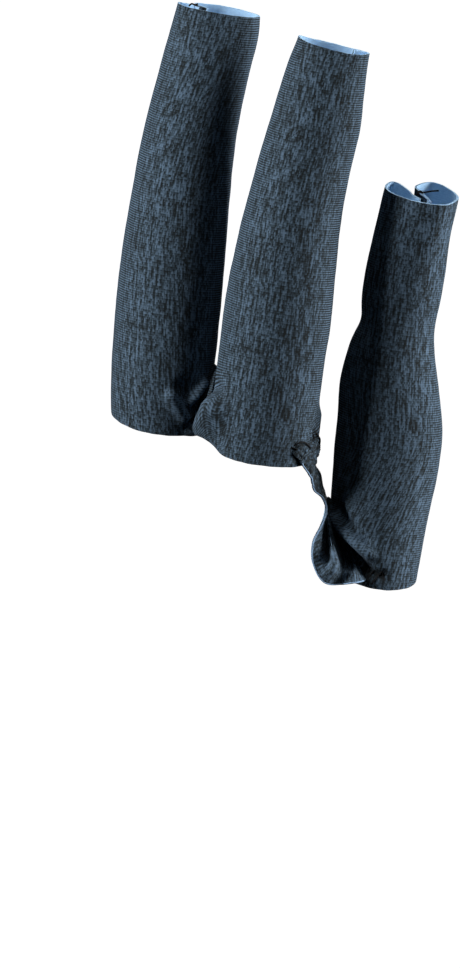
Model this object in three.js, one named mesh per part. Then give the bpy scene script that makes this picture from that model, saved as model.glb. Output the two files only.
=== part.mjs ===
// Finger compression wrap: three knit finger sleeves joined at the base by two web gussets.
// Millimetres, +Z up along the sleeves, +X from the middle sleeve to the little one, -Y the front.
// The origin is the middle of the ring sleeve's lower opening.
import * as THREE from 'three';

// Driving dimensions
const clothWall = 0.8; // thickness of the knit
const pieceGap = 0.3; // clearance between neighbouring pieces
const seamAllowance = 3; // cloth turned in along each long edge of a sleeve
const seamSpread = 1.2; // distance between the two turned-in edges, middle to middle
const turnSlack = 0.4; // extra clearance where a web turns away from a sleeve's wall
const flatLift = clothWall + pieceGap; // from a sleeve's wall to a web lying on it, middle to middle
const restLift = flatLift + turnSlack; // the same where the web turns away
const strapLift = flatLift + pieceGap; // the same under the strap's top seam, where the wall bulges
const rollLift = restLift + 3 * turnSlack; // the same over the roll at the little sleeve's base
const lipShare = 0.5; // share of the way from a ruffle's raw edge to its fold where its lip lies
const lipDip = 0.2; // share of the fold's depth that the cloth has reached at the lip

// Mesh density
const levelSteps = 17; // steps from the base of a sleeve to its mouth
const stepsPerStretch = 2; // steps between neighbouring outline points
const endCrowding = 0.5; // share of the level spacing that crowds towards base and mouth
const webSteps = 2; // steps between neighbouring stations of a web
const acrossSteps = 10; // steps from a web's front edge to its back edge

// A mouth whose seam is pushed in from the back, on a unit square: x from left (-1) to right (1),
// y from front (-1) to back (1). The rows run from one raw edge round the sleeve to the other.
const tuckedOutline = [
  { place: 'raw edge A', x: 0.1, y: -0.74 },
  { place: 'allowance A', x: -0.06, y: -0.62 },
  { place: 'seam A', x: -0.22, y: -0.5 },
  { place: 'back left, inner', x: -0.4, y: -0.13 },
  { place: 'back left, outer', x: -0.59, y: 0.26 },
  { place: 'left lobe top', x: -0.83, y: 0.47 },
  { place: 'left end', x: -0.99, y: 0.05 },
  { place: 'left front', x: -0.9, y: -0.36 },
  { place: 'front 1', x: -0.67, y: -0.63 },
  { place: 'front 2', x: -0.39, y: -0.82 },
  { place: 'front 3', x: -0.1, y: -0.97 },
  { place: 'front 4', x: 0.27, y: -1 },
  { place: 'front 5', x: 0.63, y: -0.92 },
  { place: 'right front', x: 0.88, y: -0.6 },
  { place: 'right end', x: 0.99, y: -0.1 },
  { place: 'right lobe side', x: 0.92, y: 0.26 },
  { place: 'right lobe back', x: 0.75, y: 0.57 },
  { place: 'right lobe shoulder', x: 0.48, y: 0.9 },
  { place: 'right lobe top', x: 0.19, y: 1 },
  { place: 'right lobe turn', x: -0.05, y: 0.71 },
  { place: 'right lobe inner', x: -0.18, y: 0.35 },
  { place: 'seam B', x: -0.04, y: 0 },
  { place: 'allowance B', x: 0.1, y: -0.32 },
  { place: 'raw edge B', x: 0.26, y: -0.58 },
];
const tuckedSeamX = -0.22;
const lastRow = tuckedOutline.length - 1;
const allowanceRows = 2; // outline rows from a raw edge to the seam
const columnSteps = lastRow * stepsPerStretch;

// Turns are degrees round a section: 90 back, 180 left, 270 front, 360 right.
// A level row gives a section's height, middle, outside width and depth, and how far its seam is tucked.
// A fold row gives the two ends of a ridge or dent on the wall, its reach to each side and its rise.
// A rim lies at height z, drops by `drop` to the front, rises by `side` to the right, and is drawn up
// where a gather row says so.
const middleSleeve = {
  seamTurn: 134,
  seamX: -0.72,
  base: { z: 3.1, drop: 2.2, side: 0, gathers: [] },
  mouth: { z: 90.7, drop: 0.1, side: -0.15, gathers: [] },
  levels: [
    { z: 0, x: -22.3, y: 5, width: 19.4, depth: 18.6, tuck: 0 },
    { z: 5, x: -22.9, y: 5, width: 20.3, depth: 19.4, tuck: 0 },
    { z: 10, x: -23.2, y: 5, width: 21, depth: 20, tuck: 0 },
    { z: 20, x: -23.7, y: 5, width: 22, depth: 20.4, tuck: 0 },
    { z: 35, x: -24.5, y: 5, width: 21.9, depth: 20, tuck: 0 },
    { z: 50, x: -25, y: 5, width: 20.7, depth: 18.6, tuck: 0 },
    { z: 65, x: -25, y: 5, width: 19.4, depth: 17, tuck: 0 },
    { z: 76, x: -24.2, y: 5, width: 18.8, depth: 15.4, tuck: 0.06 },
    { z: 86, x: -23.3, y: 5, width: 18.8, depth: 12.8, tuck: 0.35 },
    { z: 92, x: -23.1, y: 5, width: 17.7, depth: 11.4, tuck: 0.55 },
  ],
  folds: [
    { fromTurn: 285, fromZ: 10, toTurn: 305, toZ: 5.2, reach: 1.4, rise: 1.2 },
    { fromTurn: 299, fromZ: 11.8, toTurn: 309, toZ: 7.4, reach: 1.8, rise: -1.6 },
  ],
};

const ringSleeve = {
  seamTurn: 14,
  seamX: 0,
  base: { z: 0.7, drop: 1.5, side: 0, gathers: [{ turn: 196, reach: 20, rise: 2.4 }] },
  mouth: {
    z: 87.9,
    drop: 0,
    side: -0.65,
    gathers: [
      { turn: 180, reach: 40, rise: 0.55 },
      { turn: 360, reach: 40, rise: 0.5 },
    ],
  },
  levels: [
    { z: -1, x: -0.5, y: -5, width: 22.2, depth: 20.4, tuck: 0 },
    { z: 5, x: -0.7, y: -5, width: 22.6, depth: 20.6, tuck: 0 },
    { z: 11, x: -0.8, y: -5, width: 22.4, depth: 20.4, tuck: 0 },
    { z: 20, x: -1, y: -5, width: 22.4, depth: 20.4, tuck: 0 },
    { z: 31, x: -1.2, y: -5, width: 22.7, depth: 20.2, tuck: 0 },
    { z: 42, x: -1.3, y: -5, width: 21.7, depth: 19.4, tuck: 0 },
    { z: 52, x: -1.1, y: -5, width: 20.3, depth: 18, tuck: 0 },
    { z: 62, x: -0.4, y: -5, width: 19.5, depth: 16.4, tuck: 0 },
    { z: 72, x: 0.7, y: -5, width: 18.9, depth: 14.8, tuck: 0 },
    { z: 82, x: 1.2, y: -5, width: 16.9, depth: 12, tuck: 0 },
    { z: 89, x: 2, y: -5, width: 15.4, depth: 10, tuck: 0 },
  ],
  folds: [
    { fromTurn: 206, fromZ: 8.8, toTurn: 190, toZ: 4, reach: 3, rise: 3.8 },
  ],
};

const littleSleeve = {
  seamTurn: 96,
  seamX: tuckedSeamX,
  base: { z: -22.4, drop: 1.9, side: 0, gathers: [] },
  mouth: { z: 59.7, drop: 1.4, side: 0, gathers: [] },
  levels: [
    { z: -25, x: 28.2, y: 3, width: 15.6, depth: 17.6, tuck: 0 },
    { z: -20, x: 27.7, y: 3, width: 17, depth: 18.2, tuck: 0 },
    { z: -11, x: 26.4, y: 3, width: 20.2, depth: 19, tuck: 0 },
    { z: 0, x: 26.1, y: 3.2, width: 22, depth: 19.6, tuck: 0 },
    { z: 9, x: 25.7, y: 3.4, width: 22.4, depth: 19.2, tuck: 0 },
    { z: 18, x: 24.4, y: 3.4, width: 20.8, depth: 18, tuck: 0 },
    { z: 25, x: 23.8, y: 3.2, width: 18.2, depth: 17, tuck: 0 },
    { z: 30, x: 23.8, y: 2.8, width: 16.3, depth: 16.2, tuck: 0 },
    { z: 38, x: 24, y: 2.2, width: 16.7, depth: 15.6, tuck: 0.04 },
    { z: 47, x: 24.4, y: 1.4, width: 16.7, depth: 14.6, tuck: 0.3 },
    { z: 54, x: 24.7, y: 0.7, width: 16.3, depth: 13.8, tuck: 0.75 },
    { z: 61, x: 25, y: 0, width: 15.8, depth: 13.4, tuck: 1 },
  ],
  folds: [
    { fromTurn: 202, fromZ: -12.4, toTurn: 268, toZ: -18.6, reach: 2, rise: 1.1 },
    { fromTurn: 198, fromZ: -16.4, toTurn: 250, toZ: -22.4, reach: 2.4, rise: -2.8 },
    { fromTurn: 176, fromZ: 31, toTurn: 215, toZ: 30, reach: 3, rise: -0.5 },
  ],
};

// Reads a sleeve's level table as smooth curves over the height.
function levelReader(levels) {
  const heights = levels.map((row) => row.z);
  const values = levels.flatMap((row) => [row.x, row.y, row.width, row.depth, row.tuck]);
  const curves = new THREE.CubicInterpolant(heights, values, 5);
  return (z) => {
    const [x, y, width, depth, tuck] = curves.evaluate(z);
    const a = (width - clothWall) / 2;
    const b = (depth - clothWall) / 2;
    return { x, y, a, b, tuck: THREE.MathUtils.clamp(tuck, 0, 1) };
  };
}
for (const sleeve of [middleSleeve, ringSleeve, littleSleeve]) {
  sleeve.levelAt = levelReader(sleeve.levels);
}

const onEllipse = (level, angle) => new THREE.Vector2(level.a * Math.cos(angle), level.b * Math.sin(angle));
const ellipseNormal = (level, angle) =>
  new THREE.Vector2(level.b * Math.cos(angle), level.a * Math.sin(angle)).normalize();

// Angle from the seam to each of its two turned-in edges, so that they stand seamSpread apart.
function seamHalfAngle(sleeve, level) {
  const seam = THREE.MathUtils.degToRad(sleeve.seamTurn);
  return seamSpread / 2 / Math.hypot(level.a * Math.sin(seam), level.b * Math.cos(seam));
}

// Angle round the section that an outline row stands at; the turned-in rows share the seam's own.
function rowAngle(sleeve, level, row) {
  const seam = THREE.MathUtils.degToRad(sleeve.seamTurn);
  const half = seamHalfAngle(sleeve, level);
  const share = (row - allowanceRows) / (lastRow - 2 * allowanceRows);
  return seam + half + (2 * Math.PI - 2 * half) * THREE.MathUtils.clamp(share, 0, 1);
}

// Outline rows of an open, round section with its two raw edges turned in at the seam.
function roundOutline(sleeve, level) {
  const inward = ellipseNormal(level, THREE.MathUtils.degToRad(sleeve.seamTurn)).negate();
  return tuckedOutline.map((_, row) => {
    const rowsIn = Math.max(allowanceRows - row, row - lastRow + allowanceRows, 0);
    return onEllipse(level, rowAngle(sleeve, level, row))
      .addScaledVector(inward, (seamAllowance * rowsIn) / allowanceRows);
  });
}

// Moves the tucked outline's seam sideways to the sleeve's own seam.
function seamShift(x, seamX) {
  const side = x < tuckedSeamX ? -1 : 1;
  return side + ((x - side) * (seamX - side)) / (tuckedSeamX - side);
}

function outlineAt(sleeve, level) {
  const rows = roundOutline(sleeve, level).map((point, row) => {
    const tucked = tuckedOutline[row];
    return point.lerp(
      new THREE.Vector2(seamShift(tucked.x, sleeve.seamX) * level.a, tucked.y * level.b),
      level.tuck,
    );
  });
  return new THREE.SplineCurve(rows);
}

// Signed turn from one direction to another, within half a circle.
const turnBetween = (from, to) => THREE.MathUtils.euclideanModulo(to - from + 180, 360) - 180;

// Sum of the folds at a place on the wall: each fades with the distance from its own line.
function foldRise(sleeve, level, angle, z) {
  const radius = (level.a + level.b) / 2;
  const line = new THREE.Line3();
  const place = new THREE.Vector3();
  const nearest = new THREE.Vector3();
  return sleeve.folds.reduce((sum, fold) => {
    const offset = turnBetween(fold.fromTurn, THREE.MathUtils.radToDeg(angle));
    const span = THREE.MathUtils.degToRad(fold.toTurn - fold.fromTurn) * radius;
    line.start.set(0, fold.fromZ, 0);
    line.end.set(span, fold.toZ, 0);
    place.set(THREE.MathUtils.degToRad(offset) * radius, z, 0);
    line.closestPointToPoint(place, true, nearest);
    return sum + fold.rise * Math.exp(-((nearest.distanceTo(place) / fold.reach) ** 2));
  }, 0);
}

// Height of a rim at a column: a slanted plane through the folded outline, plus the gathers.
function rimHeight(sleeve, rim, column) {
  const level = sleeve.levelAt(rim.z);
  const turn = THREE.MathUtils.radToDeg(rowAngle(sleeve, level, column * lastRow));
  const gathered = rim.gathers.reduce(
    (sum, gather) => sum + gather.rise * Math.exp(-((turnBetween(gather.turn, turn) / gather.reach) ** 2)),
    0,
  );
  const point = outlineAt(sleeve, level).getPoint(column);
  return rim.z + gathered + (rim.drop * point.y) / level.b + (rim.side * point.x) / level.a;
}

// Middle surface of a sleeve at a column (0 to 1 from raw edge to raw edge) and a share of the height.
function sleevePoint(sleeve, column, share) {
  const z = THREE.MathUtils.lerp(
    rimHeight(sleeve, sleeve.base, column),
    rimHeight(sleeve, sleeve.mouth, column),
    share,
  );
  const level = sleeve.levelAt(z);
  const angle = rowAngle(sleeve, level, column * lastRow);
  const rise = foldRise(sleeve, level, angle, z);
  const point = outlineAt(sleeve, level).getPoint(column);
  return new THREE.Vector3(
    level.x + point.x + rise * Math.cos(angle),
    level.y + point.y + rise * Math.sin(angle),
    z,
  );
}

// A place on a sleeve's outer side, lifted clear of the wall, where a web meets it.
function seatOn(sleeve, turn, z, lift) {
  const angle = THREE.MathUtils.degToRad(turn);
  const level = sleeve.levelAt(z);
  const rise = foldRise(sleeve, level, angle, z);
  const point = onEllipse(level, angle).addScaledVector(ellipseNormal(level, angle), lift);
  return new THREE.Vector3(
    level.x + point.x + rise * Math.cos(angle),
    level.y + point.y + rise * Math.sin(angle),
    z,
  );
}

// Closed solid of a sheet of cloth: a grid of points on its middle surface, thickened to both sides.
function thickCloth(grid) {
  const rows = grid.length;
  const columns = grid[0].length;
  const at = (row, column) =>
    grid[THREE.MathUtils.clamp(row, 0, rows - 1)][THREE.MathUtils.clamp(column, 0, columns - 1)];
  const outer = [];
  const inner = [];
  for (let row = 0; row < rows; row += 1) {
    for (let column = 0; column < columns; column += 1) {
      const across = at(row, column + 1).clone().sub(at(row, column - 1));
      const along = at(row + 1, column).clone().sub(at(row - 1, column));
      const normal = across.cross(along).setLength(clothWall / 2);
      outer.push(at(row, column).clone().add(normal));
      inner.push(at(row, column).clone().sub(normal));
    }
  }
  const index = (row, column) => row * columns + column;
  const layer = rows * columns;
  const faces = [];
  for (let row = 0; row < rows - 1; row += 1) {
    for (let column = 0; column < columns - 1; column += 1) {
      const a = index(row, column);
      const b = index(row, column + 1);
      const c = index(row + 1, column + 1);
      const d = index(row + 1, column);
      faces.push(a, b, c, a, c, d);
      faces.push(a + layer, c + layer, b + layer, a + layer, d + layer, c + layer);
    }
  }
  const border = [];
  for (let column = 0; column < columns - 1; column += 1) border.push(index(0, column));
  for (let row = 0; row < rows - 1; row += 1) border.push(index(row, columns - 1));
  for (let column = columns - 1; column > 0; column -= 1) border.push(index(rows - 1, column));
  for (let row = rows - 1; row > 0; row -= 1) border.push(index(row, 0));
  border.forEach((from, k) => {
    const to = border[(k + 1) % border.length];
    faces.push(to, from, from + layer, to, from + layer, to + layer);
  });
  const geometry = new THREE.BufferGeometry();
  geometry.setFromPoints([...outer, ...inner]);
  geometry.setIndex(faces);
  geometry.computeVertexNormals();
  return geometry;
}

function sleeveGeometry(sleeve) {
  const grid = [];
  for (let level = 0; level <= levelSteps; level += 1) {
    const even = level / levelSteps;
    const crowded = (1 - Math.cos(Math.PI * even)) / 2;
    const share = THREE.MathUtils.lerp(even, crowded, endCrowding);
    const row = [];
    for (let step = 0; step <= columnSteps; step += 1) {
      row.push(sleevePoint(sleeve, step / columnSteps, share));
    }
    grid.push(row);
  }
  return thickCloth(grid);
}

// A web is lofted through its stations; each is a curve from the web's front edge to its back edge.
function webGeometry(stations) {
  const stationSteps = (stations.length - 1) * webSteps;
  const grid = [];
  for (let step = 0; step <= acrossSteps; step += 1) {
    const lengthwise = new THREE.CatmullRomCurve3(stations.map((station) => station(step / acrossSteps)));
    grid.push(lengthwise.getPoints(stationSteps));
  }
  return thickCloth(grid);
}

// Station that lies on a sleeve's wall: its rows give a few places on the wall from front to back.
function wallStation(sleeve, rows) {
  const route = new THREE.CatmullRomCurve3(rows.map((row) => new THREE.Vector3(row.turn, row.z, row.lift)));
  return (share) => {
    const { x: turn, y: z, z: lift } = route.getPoint(share);
    return seatOn(sleeve, turn, z, lift);
  };
}

// Station that spans the open space, through a few points from front to back.
function openStation(points) {
  const route = new THREE.CatmullRomCurve3(points);
  return (share) => route.getPoint(share);
}

// Ring to little web: it lies on the ring sleeve's base, drops into the valley between the two sleeves,
// comes forward again round a pocket fold, and ends along the little sleeve's base.
const ringLittleTop = wallStation(ringSleeve, [
  { turn: 308, z: 2.8, lift: strapLift },
  { turn: 316, z: 5, lift: strapLift },
  { turn: 332, z: 5.4, lift: strapLift },
  { turn: 352, z: 6.4, lift: strapLift },
  { turn: 402, z: 5.6, lift: strapLift },
]);
const ringLittleHem = wallStation(ringSleeve, [
  { turn: 320, z: 0.6, lift: restLift },
  { turn: 330, z: 2, lift: restLift },
  { turn: 346, z: 2.6, lift: restLift },
  { turn: 362, z: 3, lift: restLift },
  { turn: 405, z: 2.4, lift: restLift },
]);
const ringLittleRuffle = [
  { edge: [10.7, -10, -2.4], fold: [11.3, -7.6, -1], side: [11.6, -5.8, -0.6],
    crest: [11.7, -4, -0.4], back: [9.5, 4.4, -1] },
  { edge: [11.9, -7.4, -5.4], fold: [12.5, -5, -3.6], side: [12.6, -3.8, -3],
    crest: [12.6, -2.5, -2.6], back: [10.8, 5, -3] },
  { edge: [13.9, -5.8, -7], fold: [13.6, -2.9, -5.8], side: [13.5, -1.5, -5.3],
    crest: [13.3, -0.5, -5], back: [12, 5.6, -5.2] },
  { edge: [15, -5.8, -9.6], fold: [14.6, -1.6, -8], side: [14.4, 0, -7.4],
    crest: [14.2, 0.7, -6.9], back: [13, 6.4, -7.4] },
  { edge: [14.3, -7, -12.8], fold: [15, -1.6, -10.6], side: [14.8, 0.2, -9.2],
    crest: [14.6, 1.3, -7.8], back: [14, 7.2, -9] },
  { edge: [13.3, -8.2, -16.4], fold: [15.4, -2.2, -14.6], side: [15.4, 0, -11],
    crest: [14.8, 1.7, -8.2], back: [14.9, 7.9, -10] },
  { edge: [14, -8.6, -20.5], fold: [16.6, -3.4, -19], side: [16, -0.2, -12.8],
    crest: [14.9, 2, -8.4], back: [15.7, 8.5, -10.8] },
  { edge: [17, -9.4, -23.9], fold: [18.5, -8.8, -20.8], side: [16.6, -3, -14.4],
    crest: [15, 2.2, -8.5], back: [16.4, 9, -11.3] },
  { edge: [20.5, -7.8, -24.2], fold: [20.2, -3.4, -20.6], side: [16.2, 0.2, -14.4],
    crest: [15.1, 2.3, -8.6], back: [17, 9.4, -11.7] },
  { edge: [23, -9.4, -23.4], fold: [21.4, -4.4, -21.4], side: [16.2, 0.4, -14.8],
    crest: [15.1, 2.4, -8.6], back: [17.6, 9.8, -11.9] },
];
const ringLittleEnd = wallStation(littleSleeve, [
  { turn: 252, z: -23, lift: rollLift },
  { turn: 230, z: -20, lift: rollLift },
  { turn: 207, z: -15.2, lift: rollLift },
  { turn: 190, z: -8.4, lift: rollLift },
  { turn: 140, z: -12, lift: restLift },
]);

// Lip of a ruffle row: halfway from its edge to its fold, where the cloth has hardly begun to dip.
function lipPoint(edge, fold) {
  return edge.clone().lerp(fold, lipShare).setY(THREE.MathUtils.lerp(edge.y, fold.y, lipDip));
}

function ruffleStation(row) {
  const [edge, fold, side, crest, back] = [row.edge, row.fold, row.side, row.crest, row.back]
    .map((point) => new THREE.Vector3(...point));
  return openStation([edge, lipPoint(edge, fold), fold, side, crest, back]);
}

const ringLittleStations = [
  ringLittleTop,
  ringLittleHem,
  ...ringLittleRuffle.map(ruffleStation),
  ringLittleEnd,
];

// Middle to ring web: a narrow strip over the valley between the two sleeves.
const middleRingStart = wallStation(middleSleeve, [
  { turn: 322, z: 4.4, lift: flatLift },
  { turn: 332, z: 10.5, lift: restLift },
  { turn: 343, z: 16.2, lift: flatLift },
  { turn: 380, z: 8, lift: restLift },
]);
const middleRingEnd = wallStation(ringSleeve, [
  { turn: 176, z: 4.6, lift: restLift },
  { turn: 169, z: 10.5, lift: restLift },
  { turn: 160, z: 15.6, lift: flatLift },
  { turn: 122, z: 7, lift: restLift },
]);
const middleRingStations = [
  middleRingStart,
  (share) => middleRingStart(share).lerp(middleRingEnd(share), 0.5),
  middleRingEnd,
];

const heatherKnit = { color: 0x343f49, roughness: 0.95, metalness: 0 };
const pieces = [
  { name: 'middle_sleeve', geometry: sleeveGeometry(middleSleeve) },
  { name: 'ring_sleeve', geometry: sleeveGeometry(ringSleeve) },
  { name: 'little_sleeve', geometry: sleeveGeometry(littleSleeve) },
  { name: 'web_middle_ring', geometry: webGeometry(middleRingStations) },
  { name: 'web_ring_little', geometry: webGeometry(ringLittleStations) },
];

const wrap = new THREE.Group();
for (const { name, geometry } of pieces) {
  const mesh = new THREE.Mesh(geometry, new THREE.MeshStandardMaterial(heatherKnit));
  mesh.name = name;
  wrap.add(mesh);
}

export default wrap;
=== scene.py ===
import math

import bmesh
import bpy
import numpy as np
from mathutils import Matrix, Vector, noise


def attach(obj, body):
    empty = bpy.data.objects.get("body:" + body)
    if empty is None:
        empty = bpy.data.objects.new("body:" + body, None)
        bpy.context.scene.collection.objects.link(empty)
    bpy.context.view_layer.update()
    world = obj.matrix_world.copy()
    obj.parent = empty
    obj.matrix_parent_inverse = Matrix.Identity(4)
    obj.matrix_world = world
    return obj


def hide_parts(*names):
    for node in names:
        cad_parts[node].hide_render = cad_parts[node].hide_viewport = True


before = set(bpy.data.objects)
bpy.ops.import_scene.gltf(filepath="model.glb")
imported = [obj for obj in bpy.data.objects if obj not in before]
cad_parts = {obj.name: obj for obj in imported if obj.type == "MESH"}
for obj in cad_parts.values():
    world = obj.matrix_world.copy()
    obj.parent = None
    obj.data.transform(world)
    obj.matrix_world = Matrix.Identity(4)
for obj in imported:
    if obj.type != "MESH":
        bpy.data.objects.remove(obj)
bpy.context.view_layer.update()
scene = bpy.context.scene
print("frame loaded:", ", ".join(sorted(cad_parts)))

mm = 0.001  # the tables below are in millimetres

# the knit all pieces are cut from
knit = {
    "wall": 0.8,           # thickness with the loft of the yarn
    "shownWall": 0.45,     # thickness that shows at a cut edge, measured in from the outer side
    "seamAllowance": 3.0,  # turned in along each long edge of a sleeve
    "seamSpread": 1.2,     # between the two turned-in edges
    "walePitch": 0.56,     # across the stitch columns
    "coursePitch": 0.49,   # along the stitch columns
    "ribFade": 6,          # how fast the painted highlight of the cross ribs fades from the sides of a sleeve to its front
    "ripple": 0.1,         # height of the soft unevenness of worn cloth
    "rippleSize": 7.0,
    "fineRipple": 0.5,     # height of its finer part, as a share of the coarse one
    "fineTimes": 2.3,      # how many times finer that part is
    "fineShift": (7, 3, 1),
    "edgeWave": 0.1,       # unevenness of the cut edges
    "edgeWaveSize": 2.2,
    "edgeWaveSeed": 4,
    "edgeFade": 40,        # how fast that unevenness fades away from an edge
    "sharpAngle": 55,      # corners of the wall that turn more than this stay crisp, in degrees
    "legBend": 0.12,       # how far a cross rib dips between two wales, in courses
    "foldLightRibs": 1.0,      # how much more the ribs' painted highlight shows where a fold carries a painted highlight
}

# a mouth whose seam is pushed in from the back, on a unit square: x left to right, y front to back,
# from one raw edge round the sleeve to the other
tuckedOutline = [
    (-0.02, -0.8), (-0.14, -0.66), (-0.28, -0.5),  # raw edge, allowance and seam of one side
    (-0.4, -0.13), (-0.59, 0.26),                 # back of the left lobe
    (-0.83, 0.47), (-0.99, 0.05), (-0.9, -0.36),  # left end
    (-0.67, -0.63), (-0.39, -0.82), (-0.1, -0.97), (0.27, -1), (0.63, -0.92),  # front
    (0.88, -0.6), (0.99, -0.1), (0.92, 0.26),     # right end
    (0.75, 0.57), (0.48, 0.9), (0.19, 1), (-0.05, 0.71), (-0.18, 0.35),  # right lobe
    (-0.04, 0), (0.1, -0.32), (0.26, -0.58),      # seam, allowance and raw edge of the other side
]
tuckedX, tuckedY = np.array(tuckedOutline).T
tuckedSeamX = -0.22
lastRow = len(tuckedOutline) - 1
allowanceRows = 2
stepsPerStretch = 9  # columns of the fine grid between two rows of the outline
levelSteps = 150
frontTurn = 270
baseCrowding = 0.5  # share of the rows' spacing that crowds towards a sleeve's base


# smooth curves through the rows of a table whose first column is the place along it
def readTable(rows, at):
    table = np.array(rows, float)
    places, values = table[:, 0], table[:, 1:]
    at = np.clip(at, places[0], places[-1])
    last = len(places) - 2
    i = np.clip(np.searchsorted(places, at, side="right") - 1, 0, last)
    before = np.where(i == 0, i + 1, i - 1)
    after = np.where(i == last, i, i + 2)
    half = (places[i + 1] - places[i]) / 2
    wBefore = half / (places[i] - places[before])
    wAfter = half / (places[after] - places[i + 1])
    p = (at - places[i]) / (2 * half)
    shares = (
        (before, wBefore * (-p**3 + 2 * p**2 - p)),
        (i, (1 + wBefore) * p**3 - (1.5 + 2 * wBefore) * p**2 + (wBefore - 0.5) * p + 1),
        (i + 1, (-1 - wAfter) * p**3 + (1.5 + wAfter) * p**2 + 0.5 * p),
        (after, wAfter * (p**3 - p**2)),
    )
    return sum(values[row] * share[..., None] for row, share in shares)


# section of a sleeve at each height: middle, half width, half depth, and how far the seam is tucked
def levelAt(sleeve, z):
    x, y, width, depth, tuck = np.moveaxis(readTable(sleeve["levels"], z), -1, 0)
    wall = knit["wall"]
    return {"x": x, "y": y, "a": (width - wall) / 2, "b": (depth - wall) / 2, "tuck": np.clip(tuck, 0, 1)}


def rowAngle(sleeve, level, row):
    seam = math.radians(sleeve["seamTurn"])
    half = knit["seamSpread"] / 2 / np.hypot(level["a"] * math.sin(seam), level["b"] * math.cos(seam))
    share = np.clip((row - allowanceRows) / (lastRow - 2 * allowanceRows), 0, 1)
    return seam + half + (2 * math.pi - 2 * half) * share


# outline row of a section: the open, round one with its raw edges turned in, or the tucked one
def outlineRow(sleeve, level, row):
    angle = rowAngle(sleeve, level, row)
    seam = math.radians(sleeve["seamTurn"])
    normal = np.array([level["b"] * math.cos(seam), level["a"] * math.sin(seam)])
    normal = normal / np.hypot(*normal)
    rowsIn = np.maximum(np.maximum(allowanceRows - row, row - lastRow + allowanceRows), 0)
    inward = knit["seamAllowance"] * rowsIn / allowanceRows
    side = np.where(tuckedX[row] < tuckedSeamX, -1, 1)
    shifted = side + (tuckedX[row] - side) * (sleeve["seamX"] - side) / (tuckedSeamX - side)
    openPoint = np.array([level["a"] * np.cos(angle), level["b"] * np.sin(angle)]) - normal * inward
    tucked = np.array([shifted * level["a"], tuckedY[row] * level["b"]])
    return openPoint + (tucked - openPoint) * level["tuck"]


def outlineAt(sleeve, level, column):
    place = column * lastRow
    i = np.minimum(place.astype(int), lastRow - 1)
    t = place - i
    p0, p1, p2, p3 = (outlineRow(sleeve, level, np.clip(i + k, 0, lastRow)) for k in (-1, 0, 1, 2))
    v1, v2 = (p2 - p0) / 2, (p3 - p1) / 2
    return (2 * p1 - 2 * p2 + v1 + v2) * t**3 + (3 * p2 - 3 * p1 - 2 * v1 - v2) * t**2 + v1 * t + p1


def turnBetween(a, b):
    return (b - a + 180) % 360 - 180


# sum of the folds, or of the painted light and shade along folds, at places on the wall: each fades with
# the distance from its own line
def sumOfLines(rows, level, angle, z):
    radius = (level["a"] + level["b"]) / 2
    total = np.zeros_like(z)
    for fromTurn, fromZ, toTurn, toZ, reach, rise in rows:
        along = np.radians(turnBetween(fromTurn, np.degrees(angle))) * radius
        span = math.radians(toTurn - fromTurn) * radius
        climb = toZ - fromZ
        t = np.clip((along * span + (z - fromZ) * climb) / (span**2 + climb**2), 0, 1)
        distance = np.hypot(along - t * span, z - fromZ - t * climb)
        total += rise * np.exp(-((distance / reach) ** 2))
    return total


# height of a rim at each column: a slanted plane across the outline, plus the gathers
def rimHeight(sleeve, rim, column):
    level = levelAt(sleeve, np.full_like(column, rim["z"]))
    turn = np.degrees(rowAngle(sleeve, level, column * lastRow))
    point = outlineAt(sleeve, level, column)
    height = rim["z"] + rim["drop"] * point[1] / level["b"] + rim["side"] * point[0] / level["a"]
    for gatherTurn, reach, rise in rim["gathers"]:
        height = height + rise * np.exp(-((turnBetween(gatherTurn, turn) / reach) ** 2))
    return height


def sleevePoints(sleeve, column, share):
    low = rimHeight(sleeve, sleeve["base"], column)
    high = rimHeight(sleeve, sleeve["mouth"], column)
    z = low + (high - low) * share
    level = levelAt(sleeve, z)
    angle = rowAngle(sleeve, level, column * lastRow)
    rise = sumOfLines(sleeve["folds"], level, angle, z)
    point = outlineAt(sleeve, level, column)
    x = level["x"] + point[0] + rise * np.cos(angle)
    y = level["y"] + point[1] + rise * np.sin(angle)
    return np.stack([x, y, z], -1), np.degrees(angle)


# a place on a sleeve's outer side, lifted clear of the wall
def seatOn(sleeve, turn, z, lift):
    angle = np.radians(turn)
    level = levelAt(sleeve, z)
    normal = np.array([level["b"] * np.cos(angle), level["a"] * np.sin(angle)])
    normal = normal / np.hypot(*normal) * lift
    rise = sumOfLines(sleeve["folds"], level, angle, z)
    x = level["x"] + level["a"] * np.cos(angle) + normal[0] + rise * np.cos(angle)
    y = level["y"] + level["b"] * np.sin(angle) + normal[1] + rise * np.sin(angle)
    return np.stack([x, y, z], -1)


# materials

def newMaterial(name):
    material = bpy.data.materials.new(name)
    material.use_nodes = True
    return material, material.node_tree, material.node_tree.nodes["Principled BSDF"]


def mathNode(tree, operation, a, b=0.0, c=0.0):
    node = tree.nodes.new("ShaderNodeMath")
    node.operation = operation
    for socket, value in zip(node.inputs, (a, b, c)):
        if isinstance(value, bpy.types.NodeSocket):
            tree.links.new(value, socket)
        else:
            socket.default_value = value
    return node.outputs[0]


def clothUv(tree):
    node = tree.nodes.new("ShaderNodeUVMap")
    node.uv_map = "clothUv"
    split = tree.nodes.new("ShaderNodeSeparateXYZ")
    tree.links.new(node.outputs["UV"], split.inputs[0])
    return split.outputs["X"], split.outputs["Y"]


# a value that the cloth carries at each of its points
def clothValue(tree, name):
    node = tree.nodes.new("ShaderNodeAttribute")
    node.attribute_name = name
    return node.outputs["Fac"]


def joinXyz(tree, x, y, z=0.0):
    node = tree.nodes.new("ShaderNodeCombineXYZ")
    for socket, value in zip(node.inputs, (x, y, z)):
        if isinstance(value, bpy.types.NodeSocket):
            tree.links.new(value, socket)
        else:
            socket.default_value = value
    return node.outputs[0]


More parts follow.
